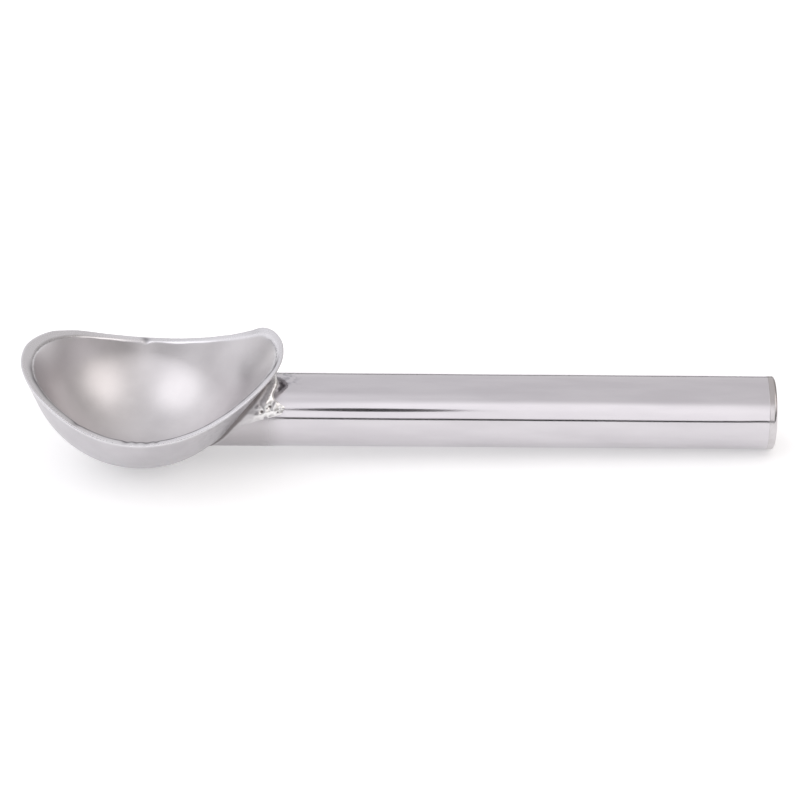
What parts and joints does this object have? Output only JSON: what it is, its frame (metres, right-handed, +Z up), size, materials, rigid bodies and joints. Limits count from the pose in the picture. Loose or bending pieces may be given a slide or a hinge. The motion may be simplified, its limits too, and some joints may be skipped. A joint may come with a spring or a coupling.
{
  "type": "ice scoop",
  "caption": "Scoop with a round bowl and a saddle-shaped rim, high at nose and heel, welded to a straight tube handle with a closed end.",
  "frame": {"origin": "under the middle of the scoop's length, on the surface that the bowl's round bottom stands on", "axes": "+X along the handle's axis from the bowl's nose to the capped end, +Z up out of the bowl, XZ the plane of symmetry"},
  "size_m": [0.1922, 0.0542, 0.0299],
  "materials": {
    "bowl_metal": "satin, tumbled after pressing",
    "tube_metal": "bright drawn, polished lengthwise",
    "weld_metal": "as welded, bright and lumpy, with dark pits"
  },
  "bodies": {
    "root": {"bowl": "bowl_metal", "handle_tube": "tube_metal", "end_cap": "tube_metal", "weld_bead": "weld_metal"}
  },
  "joints": []
}
